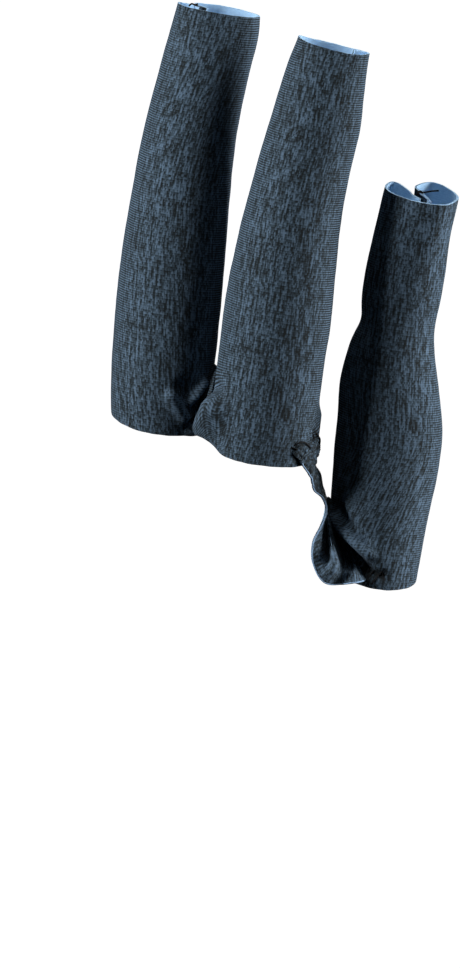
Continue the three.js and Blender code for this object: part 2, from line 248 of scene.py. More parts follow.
# noise stretched along the cloth: wide and long are the size of its patches in millimetres
def patchNoise(tree, u, v, wide, long, detail, seed):
    node = tree.nodes.new("ShaderNodeTexNoise")
    node.inputs["Scale"].default_value = 1.0
    node.inputs["Detail"].default_value = detail
    vector = joinXyz(tree, mathNode(tree, "DIVIDE", u, wide), mathNode(tree, "DIVIDE", v, long), seed)
    tree.links.new(vector, node.inputs["Vector"])
    return node.outputs["Fac"]


def colourRamp(tree, value, stops):
    node = tree.nodes.new("ShaderNodeValToRGB")
    ramp = node.color_ramp
    while len(ramp.elements) < len(stops):
        ramp.elements.new(0.5)
    for element, (place, colour) in zip(ramp.elements, stops):
        element.position = place
        element.color = (*colour, 1)
    tree.links.new(value, node.inputs["Fac"])
    return node.outputs["Color"]


# cross ribs of the courses, bent a little at each wale: 0 in the gaps, 1 on the yarn
def courseRibs(tree, u, v):
    acrossWale = mathNode(tree, "FRACT", mathNode(tree, "DIVIDE", u, knit["walePitch"]))
    fromMiddle = mathNode(tree, "ABSOLUTE", mathNode(tree, "SUBTRACT", acrossWale, 0.5))
    course = mathNode(tree, "DIVIDE", v, knit["coursePitch"])
    leg = mathNode(tree, "MULTIPLY_ADD", fromMiddle, knit["legBend"], course)
    wave = mathNode(tree, "SINE", mathNode(tree, "MULTIPLY", leg, 2 * math.pi))
    return mathNode(tree, "MULTIPLY_ADD", wave, 0.5, 0.5)


# a shade of its own for each leg of each stitch: 0 to 1
def legShades(tree, u, v):
    column = mathNode(tree, "FLOOR", mathNode(tree, "DIVIDE", u, knit["walePitch"] / 2))
    course = mathNode(tree, "FLOOR", mathNode(tree, "DIVIDE", v, knit["coursePitch"]))
    node = tree.nodes.new("ShaderNodeTexWhiteNoise")
    node.noise_dimensions = "2D"
    tree.links.new(joinXyz(tree, column, course), node.inputs["Vector"])
    return node.outputs["Value"]


def addBump(tree, shader, height, finish):
    node = tree.nodes.new("ShaderNodeBump")
    node.inputs["Distance"].default_value = finish["bumpHeight"] * mm
    node.inputs["Strength"].default_value = finish["bump"]
    tree.links.new(height, node.inputs["Height"])
    tree.links.new(node.outputs["Normal"], shader.inputs["Normal"])


def setSurface(shader, finish):
    shader.inputs["Roughness"].default_value = finish["roughness"]
    shader.inputs["Specular IOR Level"].default_value = finish["specular"]


# the faint glow of loose fibres
def setSheen(shader, finish):
    shader.inputs["Sheen Weight"].default_value = finish["sheen"]
    shader.inputs["Sheen Roughness"].default_value = finish["sheenRoughness"]
    shader.inputs["Sheen Tint"].default_value = (*finish["sheenTint"], 1)


# face of the knit: charcoal yarn with the blue of the back showing through in streaks along the wales,
# and in the cross ribs, made paler towards the sides as a painted highlight of side light on the loops
heatherFinish = {
    "charcoal": (0.009, 0.0125, 0.0145),
    "slate": (0.031, 0.049, 0.066),
    "blue": (0.1, 0.159, 0.233),
    "stops": (0.24, 0.5, 0.9),  # where those three stand on a scale of 0 to 1
    # size of the streaks, flecks and patches, and how much of the shade each one gives
    "streakWide": 0.46, "streakLong": 4.2, "streakShare": 1.35, "streakSeed": 0.0,
    "fleckWide": 0.5, "fleckLong": 0.6, "fleckShare": 0.55, "fleckSeed": 9.2,
    "patchWide": 2.6, "patchLong": 12.0, "patchShare": 0.22, "patchSeed": 5.7,
    "legShare": 0.42,  # the same for the single legs of the stitches
    "swayWide": 4.0, "swayLong": 12.0, "swaySeed": 3.1,
    "sway": 1.0,       # how far the streaks wander off their wales
    "detail": 1,
    "ribFront": 0.1, "ribSide": 1.1,  # how much the cross ribs show where the painted rib highlight is 0 (front) and 1 (sides)
    "ribMiddle": 0.57,
    "sideCalm": 0.82,  # how much of the streaks and flecks the painted rib highlight covers at the sides
    "roughness": 0.85, "specular": 0.18,
    "sheen": 0.08, "sheenRoughness": 0.4, "sheenTint": (0.58, 0.74, 0.9),
    "bumpHeight": 0.06, "bump": 0.4,
}


def makeHeather():
    material, tree, shader = newMaterial("heatherKnit")
    finish = heatherFinish
    detail = finish["detail"]
    u, v = clothUv(tree)
    sway = patchNoise(tree, u, v, finish["swayWide"], finish["swayLong"], detail, finish["swaySeed"])
    swayed = mathNode(tree, "MULTIPLY_ADD", mathNode(tree, "SUBTRACT", sway, 0.5), finish["sway"], u)
    # painted highlight: the cross ribs show paler towards a sleeve's sides, standing in for side light
    paintedRibHighlight = clothValue(tree, "paintedRibHighlight")
    legs = mathNode(tree, "SUBTRACT", legShades(tree, u, v), 0.5)
    heather = mathNode(tree, "MULTIPLY", legs, finish["legShare"])
    for kind in ("streak", "fleck", "patch"):
        wide, long, share, seed = (finish[kind + key] for key in ("Wide", "Long", "Share", "Seed"))
        field = patchNoise(tree, swayed, v, wide, long, detail, seed)
        field = mathNode(tree, "SUBTRACT", field, 0.5)
        heather = mathNode(tree, "MULTIPLY_ADD", field, share, heather)
    calm = mathNode(tree, "MULTIPLY_ADD", paintedRibHighlight, -finish["sideCalm"], 1.0)
    # painted light and shade that the cloth carries lift or lower its shade
    middle = mathNode(tree, "ADD", clothValue(tree, "paintedShading"), 0.5)
    total = mathNode(tree, "MULTIPLY_ADD", heather, calm, middle)
    ribs = courseRibs(tree, u, v)
    ribRange = finish["ribSide"] - finish["ribFront"]
    strength = mathNode(tree, "MULTIPLY_ADD", paintedRibHighlight, ribRange, finish["ribFront"])
    fromMiddle = mathNode(tree, "SUBTRACT", ribs, finish["ribMiddle"])
    total = mathNode(tree, "MULTIPLY_ADD", fromMiddle, strength, total)
    yarns = (finish["charcoal"], finish["slate"], finish["blue"])
    colour = colourRamp(tree, total, list(zip(finish["stops"], yarns)))
    tree.links.new(colour, shader.inputs["Base Color"])
    setSurface(shader, finish)
    setSheen(shader, finish)
    addBump(tree, shader, mathNode(tree, "MULTIPLY", ribs, strength), finish)
    return material


# back of the knit: plain light blue, with the fine cross ridges of the purl side
blueFinish = {
    "shade": (0.36, 0.58, 0.84), "light": (0.5, 0.75, 0.98), "stops": (0.25, 0.85),
    "ridgeShare": 0.1,
    "cloudWide": 0.5, "cloudLong": 0.4, "cloudDetail": 3, "cloudSeed": 1.4,
    "roughness": 0.9, "specular": 0.2,
    "sheen": 0.06, "sheenRoughness": 0.5, "sheenTint": (0.7, 0.82, 1),
    "bumpHeight": 0.04, "bump": 0.3,
}


def makeBlueBack():
    material, tree, shader = newMaterial("blueBack")
    finish = blueFinish
    u, v = clothUv(tree)
    ridge = mathNode(tree, "SINE", mathNode(tree, "MULTIPLY", v, 2 * math.pi / knit["coursePitch"]))
    ridge = mathNode(tree, "MULTIPLY_ADD", ridge, 0.5, 0.5)
    wide, long, detail, seed = (finish["cloud" + key] for key in ("Wide", "Long", "Detail", "Seed"))
    cloud = patchNoise(tree, u, v, wide, long, detail, seed)
    mixed = mathNode(tree, "MULTIPLY_ADD", ridge, finish["ridgeShare"], cloud)
    colour = colourRamp(tree, mixed, list(zip(finish["stops"], (finish["shade"], finish["light"]))))
    tree.links.new(colour, shader.inputs["Base Color"])
    setSurface(shader, finish)
    setSheen(shader, finish)
    addBump(tree, shader, ridge, finish)
    return material


heatherKnit = makeHeather()
blueBack = makeBlueBack()
clothMaterials = [heatherKnit, blueBack]
print("materials ready")


# cloth

# coarse and fine unevenness together
def softRipple(place, size):
    coarse = Vector(place) / size
    fine = coarse * knit["fineTimes"] + Vector(knit["fineShift"])
    return noise.noise(coarse) + knit["fineRipple"] * noise.noise(fine)


# lays a flat grid over a surface: spread gives, for columns and shares of 0 to 1, the places and the
# texture grid in millimetres, the outward directions, and the values that the cloth carries; the sheet
# then gets its thickness, measured in from where the outer side of the full wall is
def makeCloth(name, columns, rows, spread, evenWall, blueRim):
    bm = bmesh.new()
    bmesh.ops.create_grid(bm, x_segments=columns, y_segments=rows, size=0.5)
    bm.verts.ensure_lookup_table()
    column = np.clip(np.array([v.co.x for v in bm.verts]) + 0.5, 0, 1)
    share = np.clip(np.array([v.co.y for v in bm.verts]) + 0.5, 0, 1)
    places, uvs, outside, carried = spread(column, share)
    # the cloth carries its painted rib highlight and its painted light and shade
    layers = [(bm.verts.layers.float.new(key), carried[key]) for key in ("paintedRibHighlight", "paintedShading")]
    wallGroup = bm.verts.layers.deform.verify()
    for i, vert in enumerate(bm.verts):
        vert.co = Vector(places[i]) * mm
        vert[wallGroup][0] = carried["wallShare"][i]
        for layer, values in layers:
            vert[layer] = values[i]
    uvLayer = bm.loops.layers.uv.new("clothUv")
    for face in bm.faces:
        face.smooth = True
        for loop in face.loops:
            loop[uvLayer].uv = uvs[loop.vert.index]
    bm.normal_update()
    facing = sum(v.normal.dot(Vector(o)) for v, o in zip(bm.verts, outside))
    if facing < 0:
        bmesh.ops.reverse_faces(bm, faces=bm.faces[:])
    mesh = bpy.data.meshes.new(name)
    bm.to_mesh(mesh)
    area = sum(face.calc_area() for face in bm.faces)
    bm.free()
    piece = bpy.data.objects.new(name, mesh)
    scene.collection.objects.link(piece)
    for material in clothMaterials:
        mesh.materials.append(material)
    piece.vertex_groups.new(name="wallShare")
    wall = piece.modifiers.new("wall", "SOLIDIFY")
    wall.vertex_group = "wallShare"
    wall.thickness = knit["shownWall"] * mm
    wall.offset = knit["wall"] / knit["shownWall"] - 1
    wall.use_even_offset = evenWall
    wall.material_offset = 1
    wall.material_offset_rim = int(blueRim)
    bpy.context.view_layer.update()
    thick = bpy.data.meshes.new_from_object(piece.evaluated_get(bpy.context.evaluated_depsgraph_get()))
    piece.modifiers.clear()
    piece.data = thick
    thick.name = name
    thick.set_sharp_from_angle(angle=math.radians(knit["sharpAngle"]))
    print(f"{name}: {area * 1e4:.1f} cm2 of cloth, {len(thick.polygons)} faces")
    return piece


def finishCloth(piece, parts):
    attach(piece, "root")
    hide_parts(parts["node"])


# the points of a cloth as a grid, with its rows in order of their share, and back from a grid to points
def gridOrder(column, share):
    rows = len(np.unique(np.round(share, 6)))
    return np.lexsort((column, share)).reshape(rows, -1)


def fromGrid(order, grid):
    values = np.empty((order.size, *grid.shape[2:]))
    values[order] = grid
    return values


def gridNormals(grid):
    normal = np.cross(np.gradient(grid, axis=1), np.gradient(grid, axis=0))
    return normal / np.maximum(np.linalg.norm(normal, axis=2, keepdims=True), 1e-9)


# length along the rows or the columns of a grid, from its first row or column
def gridLengths(grid, axis):
    steps = np.linalg.norm(np.diff(grid, axis=axis), axis=2)
    start = np.zeros_like(steps.take([0], axis=axis))
    return np.concatenate([start, np.cumsum(steps, axis=axis)], axis=axis)


# texture grid of a sleeve: wales are measured from the front round the unfolded outline, courses from the
# mouth down over the folds, and they slant from a turn towards one side where a bulge has drawn the cloth
def sleeveUv(sleeve, order, places, unfolded, turn, level):
    girth = gridLengths(unfolded[order] * (1, 1, 0), 1)
    front = np.argmin(np.abs(turnBetween(frontTurn, turn[order][0])))
    wale = fromGrid(order, girth - girth[:, front:front + 1])
    z = places[:, 2]
    wale = wale + readTable(sleeve["grain"], z)[:, 0]
    climbed = gridLengths(places[order], 0)
    course = fromGrid(order, places[order][-1, :, 2] + climbed - climbed[-1])
    radius = (level["a"] + level["b"]) / 2
    for fromTurn, side, atZ, reach, slope in sleeve["slants"]:
        along = np.maximum(side * np.radians(turnBetween(fromTurn, turn)) * radius, 0)
        course -= side * slope * along * np.exp(-(((z - atZ) / reach) ** 2))
    return np.stack([wale, course], -1)


def makeSleeve(sleeve):
    def spread(column, share):
        share = share * (1 - baseCrowding + baseCrowding * share)
        places, turn = sleevePoints(sleeve, column, share)
        unfolded = sleevePoints({**sleeve, "folds": []}, column, share)[0]
        order = gridOrder(column, share)
        normal = fromGrid(order, gridNormals(places[order]))
        middle = levelAt(sleeve, places[:, 2])
        uvs = sleeveUv(sleeve, order, places, unfolded, turn, middle)
        outside = places - np.stack([middle["x"], middle["y"], places[:, 2]], -1)
        sign = np.sign((normal * outside).sum())
        ripple = np.array([softRipple(p, knit["rippleSize"]) for p in places]) * knit["ripple"]
        waveSize, waveSeed = knit["edgeWaveSize"], knit["edgeWaveSeed"]
        edge = np.array([noise.noise(Vector((p[0], p[1], waveSeed)) / waveSize) for p in places])
        nearEdge = np.maximum(share, 1 - share) ** knit["edgeFade"]
        places = places + normal * sign * ripple[:, None]
        places[:, 2] += edge * nearEdge * knit["edgeWave"]
        # painted light and shade along folds: lighter on lit ridges, darker in shaded hollows
        drawn = sumOfLines(sleeve["paintedFoldLight"], middle, np.radians(turn), places[:, 2])
        # painted highlight of the cross ribs, strongest at the sides
        paintedRibHighlight = np.abs(np.cos(np.radians(turn))) ** knit["ribFade"]
        paintedRibHighlight = paintedRibHighlight * readTable(sleeve["ribs"], places[:, 2])[:, 0]
        paintedRibHighlight = np.clip(paintedRibHighlight + np.maximum(drawn, 0) * knit["foldLightRibs"], 0, 1)
        fullWall = np.ones(len(places))
        # painted fold light and shade plus the whole sleeve's painted lift
        carried = {"paintedRibHighlight": paintedRibHighlight, "paintedShading": drawn + sleeve["paintedShading"], "wallShare": fullWall}
        return places, uvs, outside, carried

    columns = lastRow * stepsPerStretch
    piece = makeCloth(sleeve["node"] + "_cloth", columns, levelSteps, spread, evenWall=True, blueRim=True)
    finishCloth(piece, sleeve)


# turns are degrees round a section: 90 back, 180 left, 270 front, 360 right
# levels: z, x, y, outside width, depth, tuck; folds: from turn, z, to turn, z, reach, rise
# gathers: turn, reach, rise; grain: z, sideways shift of the wales
# slants: from turn, side (-1 left, 1 right), z, reach, slope
# painted fold light and shade: as folds, how much lighter a lit ridge or darker a shaded hollow is
# painted;
# ribs: z, how much the painted highlight of the cross ribs shows at the sides
middleSleeve = {
    "node": "middle_sleeve", "flat": (0.074, 0.089), "restsOn": [],
    "seamTurn": 134, "seamX": -0.72,
    "base": {"z": 3.1, "drop": 2.2, "side": 0, "gathers": []},
    "mouth": {"z": 90.7, "drop": 0.1, "side": -0.15, "gathers": []},
    "levels": [
        (0, -22.3, 5, 19.4, 18.6, 0), (5, -22.9, 5, 20.3, 19.4, 0), (10, -23.2, 5, 21, 20, 0),
        (20, -23.7, 5, 22, 20.4, 0), (35, -24.5, 5, 21.9, 20, 0), (50, -25, 5, 20.7, 18.6, 0),
        (65, -25, 5, 19.4, 17, 0), (76, -24.2, 5, 18.8, 15.4, 0.06), (86, -23.3, 5, 18.8, 12.8, 0.35),
        (92, -23.1, 5, 17.7, 11.4, 0.55),
    ],
    "folds": [
        (284, 9.2, 306, 4.8, 1.3, 1.2), (298, 11.6, 306, 8.2, 1.4, -1),
        (309, 8.2, 325, 12.8, 0.9, 1.6), (320, 8, 336, 11.6, 1, -1.2),
        (309, 4, 324, 4.9, 0.7, -1.3), (316, 2, 328, 2.4, 1.3, 1.2),
    ],
    "grain": [(0, 0), (12, 1.2), (35, 2.7), (50, 2.9), (60, 2.4), (72, 1), (92, -4.2)],
    "slants": [],
    # painted highlights on the two ridges at the base; tone paints the whole sleeve lighter in place of
    # light
    "paintedFoldLight": [(286, 8.8, 305, 4.8, 1.5, 0.17), (308, 8.4, 325, 13, 1, 0.17)], "paintedShading": 0.035,
    "ribs": [(0, 0.35), (10, 0.5), (26, 1), (92, 1)],
}
ringSleeve = {
    "node": "ring_sleeve", "flat": (0.07, 0.088), "restsOn": [],
    "seamTurn": 14, "seamX": 0,
    "base": {"z": 0.7, "drop": 1.5, "side": 0, "gathers": [(196, 20, 2.4)]},
    "mouth": {"z": 87.9, "drop": 0, "side": -0.65, "gathers": [(180, 40, 0.55), (360, 40, 0.5)]},
    "levels": [
        (-1, -0.5, -5, 22.2, 20.4, 0), (5, -0.7, -5, 22.6, 20.6, 0), (11, -0.8, -5, 22.4, 20.4, 0),
        (20, -1, -5, 22.4, 20.4, 0), (31, -1.2, -5, 22.7, 20.2, 0), (42, -1.3, -5, 21.7, 19.4, 0),
        (52, -1.1, -5, 20.3, 18, 0), (62, -0.4, -5, 19.5, 16.4, 0), (72, 0.7, -5, 18.9, 14.8, 0),
        (82, 1.2, -5, 16.9, 12, 0), (89, 2, -5, 15.4, 10, 0),
    ],
    "folds": [
        (206, 8.8, 190, 4, 3.0, 3.5), (192, 13.4, 208, 12.8, 1.3, -1.5),  # drawn out on the left
        (361, 10, 358, 4.6, 1.8, 0.8),  # and on the right, above the stitches
        (345, 7, 351, 4.6, 0.5, -0.6), (335, 6.8, 341, 5.2, 0.5, -0.5),
        (331, 7.7, 355, 9.3, 0.35, -0.4), (338, 7.2, 357, 8.4, 0.35, -0.4),
        (334, 8.8, 351, 10.2, 0.35, -0.3),
    ],
    "grain": [(-1, 1.6), (8, 0.6), (18, 0), (90, 0)],
    "slants": [(230, -1, 4, 8, 0.95), (338, 1, 8.5, 3, 0.5)],
    # tone paints the whole sleeve lighter in place of light
    "paintedFoldLight": [], "paintedShading": 0.02,
    "ribs": [(-1, 0.5), (9, 0.55), (20, 1), (90, 1)],
}
littleSleeve = {
    "node": "little_sleeve", "flat": (0.066, 0.083), "restsOn": [],
    "seamTurn": 96, "seamX": tuckedSeamX,
    "base": {"z": -22.4, "drop": 1.9, "side": 0, "gathers": []},
    "mouth": {"z": 59.7, "drop": 1.4, "side": 0, "gathers": []},
    "levels": [
        (-25, 28.2, 3, 15.6, 17.6, 0), (-20, 27.7, 3, 17, 18.2, 0), (-11, 26.4, 3, 20.2, 19, 0),
        (0, 26.1, 3.2, 22, 19.6, 0), (9, 25.7, 3.4, 22.4, 19.2, 0), (18, 24.4, 3.4, 20.8, 18, 0),
        (25, 23.8, 3.2, 18.2, 17, 0), (30, 23.8, 2.8, 16.3, 16.2, 0), (38, 24, 2.2, 16.7, 15.6, 0.04),
        (47, 24.4, 1.4, 16.7, 14.6, 0.3), (54, 24.7, 0.7, 16.3, 13.8, 0.75), (61, 25, 0, 15.8, 13.4, 1),
    ],
    "folds": [
        (206, -11.8, 256, -17.2, 1.4, 1.5), (214, -9.4, 254, -14.2, 1.5, -0.9),
        (196, -15.8, 248, -19.9, 2.1, -2.9), (246, -20.7, 278, -21.1, 1, -1),
        (176, 31, 215, 30, 3, -0.5),
    ],
    "grain": [(-25, 9), (-15, 7), (-5, 3.4), (4, 0.8), (12, 0), (36, 0), (62, 4)],
    "slants": [],
    # painted highlight on the roll at the base, painted shade on the flap tucked under it; tone paints the
    # whole sleeve lighter in place of light
    "paintedFoldLight": [(206, -12, 250, -16.6, 1.4, 0.2), (236, -21, 278, -21.5, 1.3, -0.4)], "paintedShading": 0.06,
    "ribs": [(-25, 0.5), (-10, 0.7), (5, 0.75), (30, 0.45), (62, 0.25)],
}
for sleeve in (middleSleeve, ringSleeve, littleSleeve):
    makeSleeve(sleeve)
print("sleeves made")


# webs

# smooth curve through points with even bends, read at shares of 0 to 1
def curveThrough(points, shares):
    points = np.array(points, float)
    ends = np.concatenate([[2 * points[0] - points[1]], points, [2 * points[-1] - points[-2]]])
    place = np.asarray(shares, float) * (len(points) - 1)
    i = np.minimum(place.astype(int), len(points) - 2)
    t = (place - i)[:, None]
    p0, p1, p2, p3 = (ends[i + k] for k in range(4))
    pairs = ((p0, p1), (p1, p2), (p2, p3))
    d0, d1, d2 = (np.sqrt(np.linalg.norm(b - a, axis=1))[:, None] for a, b in pairs)
    v1 = ((p1 - p0) / d0 - (p2 - p0) / (d0 + d1) + (p2 - p1) / d1) * d1
    v2 = ((p2 - p1) / d1 - (p3 - p1) / (d1 + d2) + (p3 - p2) / d2) * d1
    return p1 + v1 * t + (3 * p2 - 3 * p1 - 2 * v1 - v2) * t**2 + (2 * p1 - 2 * p2 + v1 + v2) * t**3


def wallStation(sleeve, rows, shares):
    turn, z, lift = curveThrough(rows, shares).T
    return seatOn(sleeve, turn, z, lift)


# from the middle of a sleeve's wall to the middle of the web that lies on it
flatLift = 0.45
restLift = 0.7
edgeLift = 0.6
faceColumns, faceRows = 0.05, 0.15  # a web faces the front this near to its faceAt and its front edge


# stations run from the web's front edge to its back edge, and the cloth is lofted through them
def makeWeb(web):
    columns, rows = web["columns"], web["rows"]
    acrossShares = np.linspace(0, 1, rows + 1)
    stations = np.array(web["stations"](acrossShares))
    alongShares = np.linspace(0, 1, columns + 1)
    grid = np.array([curveThrough(stations[:, k], alongShares) for k in range(rows + 1)])

    def spread(column, share):
        places = grid[np.round(share * rows).astype(int), np.round(column * columns).astype(int)]
        order = gridOrder(column, share)
        normal = fromGrid(order, gridNormals(places[order]))
        seen = (np.abs(column - web["faceAt"]) < faceColumns) & (share < faceRows)
        outside = seen[:, None] * np.array([0, -1, 0])
        ripple = np.array([softRipple(p, knit["rippleSize"] / 2) for p in places]) * knit["ripple"]
        pucker = np.array([softRipple(p, web["puckerSize"]) for p in places]) * web["pucker"]
        fromSeam = np.clip(column / web["seamRamp"], 0, 1)
        sewn = fromSeam * np.clip(1.5 - column / web["puckerEnd"], 0, 1)  # fades out about puckerEnd
        outer = np.sign((normal * outside).sum())
        lift = ripple + outer * sewn * (web["swell"] + np.maximum(pucker, 0))
        places = places + normal * lift[:, None]
        climbed = fromGrid(order, gridLengths(grid, 0))
        uvs = np.stack([column * gridLengths(grid, 1).max(), climbed], -1)
        frontEdge = np.flatnonzero(share < 0.5 / rows)
        frontEdge = frontEdge[np.argsort(column[frontEdge])]
        web["rawEdge"] = (places + normal * outer * web["yarnLift"])[frontEdge]
        # the web's painted rib highlight is even; its painted shade follows its columns
        paintedRibHighlight = np.full(len(places), web["paintedRibHighlight"])
        paintedShading = readTable(web["paintedShading"], column)[:, 0]
        wallShare = web["seamWall"] + (1 - web["seamWall"]) * fromSeam
        return places, uvs, outside, {"paintedRibHighlight": paintedRibHighlight, "paintedShading": paintedShading, "wallShare": wallShare}

    piece = makeCloth(web["node"] + "_cloth", columns, rows, spread, evenWall=False, blueRim=False)
    finishCloth(piece, web)


# ring to little: lies on the ring sleeve's base, drops into the valley, comes forward again round a
# pocket fold and ends along the little sleeve's base; ruffle rows: edge, fold, side, crest, back
ringLittleRuffle = [
    ((10.7, -10, -2.4), (11, -7.6, -1), (11.1, -5.8, -0.6), (11.1, -4, -0.4), (9.5, 4.4, -1)),
    ((11.9, -7.4, -5.4), (12.5, -5, -3.6), (12.6, -3.8, -3), (12.6, -2.5, -2.6), (10.8, 5, -3)),
    ((13.9, -5.8, -7), (13.6, -2.9, -5.8), (13.5, -1.5, -5.3), (13.3, -0.5, -5), (12, 5.6, -5.2)),
    ((15, -5.8, -9.6), (14.6, -1.6, -8), (14.4, 0, -7.4), (14.2, 0.7, -6.9), (13, 6.4, -7.4)),
    ((14.3, -7, -12.8), (15, -1.6, -10.6), (14.8, 0.2, -9.2), (14.6, 1.3, -7.8), (14, 7.2, -9)),
    ((13.3, -8.2, -16.4), (15.4, -2.2, -14.6), (15.4, 0, -11), (14.8, 1.7, -8.2), (14.9, 7.9, -10)),
    ((14, -8.6, -20.5), (16.6, -3.4, -19), (16, -0.2, -12.8), (14.9, 2, -8.4), (15.7, 8.5, -10.8)),
    ((17, -9.6, -23.9), (18.7, -9.8, -20.6), (16.9, -5, -15), (15, 2.2, -8.5), (16.4, 9, -11.3)),
    ((20.5, -7.8, -24.2), (20.4, -2.6, -20.4), (17.2, 0.4, -14.4), (15.1, 2.3, -8.6), (17, 9.4, -11.7)),
    ((23, -9.4, -23.4), (22.2, -2.2, -20.6), (17.8, 0.9, -14.8), (15.1, 2.4, -8.6), (17.6, 9.8, -11.9)),
]
lipShare, lipDip = 0.5, 0.2  # the cloth leaves its raw edge level for half the way to the fold, then dips


def ruffleRow(edge, fold, side, crest, back):
    lip = np.array(edge) + (np.array(fold) - edge) * (lipShare, lipDip, lipShare)
    return [edge, lip, fold, side, crest, back]


def ringLittleStations(shares):
    top = [(308, 2.8, flatLift), (316, 5, flatLift), (332, 5, flatLift), (352, 5.6, flatLift),
           (402, 5, flatLift)]
    hem = [(320, 0.6, restLift), (330, 2, restLift), (346, 2.6, restLift), (362, 3, restLift),
           (405, 2.4, restLift)]
    end = [(252, -23, restLift), (230, -20, restLift), (207, -15.2, restLift), (196, -8.4, restLift),
           (140, -12, restLift)]
    return [
        wallStation(ringSleeve, top, shares),
        wallStation(ringSleeve, hem, shares),
        *(curveThrough(ruffleRow(*row), shares) for row in ringLittleRuffle),
        wallStation(littleSleeve, end, shares),
    ]


def middleRingStations(shares):
    start = wallStation(middleSleeve, [(322, 4.4, flatLift), (332, 10.5, restLift), (343, 16.2, edgeLift),
                                       (380, 8, restLift)], shares)
    end = wallStation(ringSleeve, [(176, 4.6, restLift), (169, 10.5, restLift), (160, 15.6, edgeLift),
                                   (122, 7, restLift)], shares)
    return [start, (start + end) / 2, end]


ringLittleWeb = {
    "node": "web_ring_little", "flat": (0.024, 0.028), "columns": 240, "rows": 80,
    "restsOn": ["ring_sleeve_cloth", "little_sleeve_cloth"],
    "stations": ringLittleStations, "faceAt": 0.3, "paintedRibHighlight": 0.0, "yarnLift": 0.32,
    # painted shade: darker along the strap on the ring sleeve, a little painted light on the lobe
    "paintedShading": [(0, -0.1), (0.3, -0.16), (0.55, 0), (0.7, 0.05), (1, 0.05)],
    # bunched along the stitches on the ring sleeve, where its edge is sewn down
    "pucker": 0.8, "puckerSize": 1.1, "puckerEnd": 0.17, "swell": 0.1, "seamRamp": 0.025, "seamWall": 0.25,
}
middleRingWeb = {
    "node": "web_middle_ring", "flat": (0.01, 0.01), "columns": 30, "rows": 60,
    "restsOn": ["middle_sleeve_cloth", "ring_sleeve_cloth"],
    # painted rib highlight at 0.4 all over
    "stations": middleRingStations, "faceAt": 0.5, "paintedRibHighlight": 0.4, "yarnLift": 0.32,
    # painted shade: the web is darker all over
    "paintedShading": [(0, -0.1), (0.5, -0.1), (1, -0.1)],
    "pucker": 0.0, "puckerSize": 1.5, "puckerEnd": 0.2, "swell": 0.0, "seamRamp": 0.025, "seamWall": 1.0,
}
makeWeb(ringLittleWeb)
makeWeb(middleRingWeb)
print("webs made")


# threads: each is a line of places in millimetres, given a round section

threadFinish = {
    "black": (0.006, 0.006, 0.007), "paleBlue": (0.28, 0.43, 0.64),
    "darkShare": 0.6,    # the darkest of them, as a share of the colour
    "twistScale": 4000,  # patches of shade to the metre
    "stops": (0.35, 0.65),
    "roughness": 0.7, "specular": 0.2,
    "bumpHeight": 0.04, "bump": 0.5,
}
threadRadius = {"stitch": 0.15, "knot": 0.19, "flap": 0.17, "rawEdge": 0.18}
threadSteps = 4  # between two points of a thread


def makeYarn(name, colour):
    material, tree, shader = newMaterial(name)
    place = tree.nodes.new("ShaderNodeTexCoord")
    twist = tree.nodes.new("ShaderNodeTexNoise")
    twist.inputs["Scale"].default_value = threadFinish["twistScale"]
    tree.links.new(place.outputs["Object"], twist.inputs["Vector"])
    dark = tuple(c * threadFinish["darkShare"] for c in colour)
    shade = colourRamp(tree, twist.outputs["Fac"], list(zip(threadFinish["stops"], (dark, colour))))
    tree.links.new(shade, shader.inputs["Base Color"])
    setSurface(shader, threadFinish)
    addBump(tree, shader, twist.outputs["Fac"], threadFinish)
    return material


blackThread = makeYarn("blackThread", threadFinish["black"])
paleYarn = makeYarn("paleYarn", threadFinish["paleBlue"])


def makeThreads(name, lines, radius, material):
    curve = bpy.data.curves.new(name, "CURVE")
    curve.dimensions = "3D"
    curve.bevel_depth = radius * mm
    curve.bevel_resolution = 1
    curve.use_fill_caps = True
    for line in lines:
        smooth = curveThrough(line, np.linspace(0, 1, threadSteps * (len(line) - 1) + 1))
        spline = curve.splines.new("POLY")
        spline.points.add(len(smooth) - 1)
        for point, place in zip(spline.points, smooth):
            point.co = (*(place * mm), 1)
    drawn = bpy.data.objects.new(name, curve)
    scene.collection.objects.link(drawn)
    bpy.context.view_layer.update()
    mesh = bpy.data.meshes.new_from_object(drawn.evaluated_get(bpy.context.evaluated_depsgraph_get()))
    bpy.data.objects.remove(drawn)
    mesh.name = name
    mesh.materials.clear()
    mesh.materials.append(material)
    piece = bpy.data.objects.new(name, mesh)
    scene.collection.objects.link(piece)
    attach(piece, "root")
    print(f"{name}: {len(lines)} threads, {len(mesh.polygons)} faces")


# stitches lie on a sleeve: rows of turn, z, lift above the middle of its wall
ringStitches = [
    [(309, 4.1, 0.4), (314, 4.9, 0.9), (320, 5.1, 1.1), (327.5, 4.4, 1.15), (336, 3.5, 1.15),
     (342, 1.8, 0.8)],
    [(306, 3.8, 0.4), (312, 3.5, 0.9), (318, 2.4, 1.1), (322, 0.6, 0.8)],
    [(338, 7.2, 0.3), (343, 6.4, 0.5), (348, 5.4, 0.8), (351, 4.0, 0.9)],
    [(347, 7.2, 0.3), (351, 6.4, 0.5), (355, 5.4, 0.8), (357, 3.8, 0.9)],
]
littleStitches = [
    [(281, -19.6, 0.3), (274, -21, 0.65), (267, -22.2, 0.65), (262, -23.4, 0.4)],
    [(278, -20.2, 0.3), (279, -21.2, 0.65), (281, -22.4, 0.3)],
    [(262, -18.8, 0.3), (256, -20, 0.7), (250, -21.4, 0.7), (246, -22.6, 0.3)],
    [(270, -19.6, 0.3), (264, -20.6, 0.65), (258, -21.8, 0.65), (254, -23, 0.3)],
]


def sewnLines(sleeve, stitches):
    return [seatOn(sleeve, *np.array(stitch, float).T) for stitch in stitches]


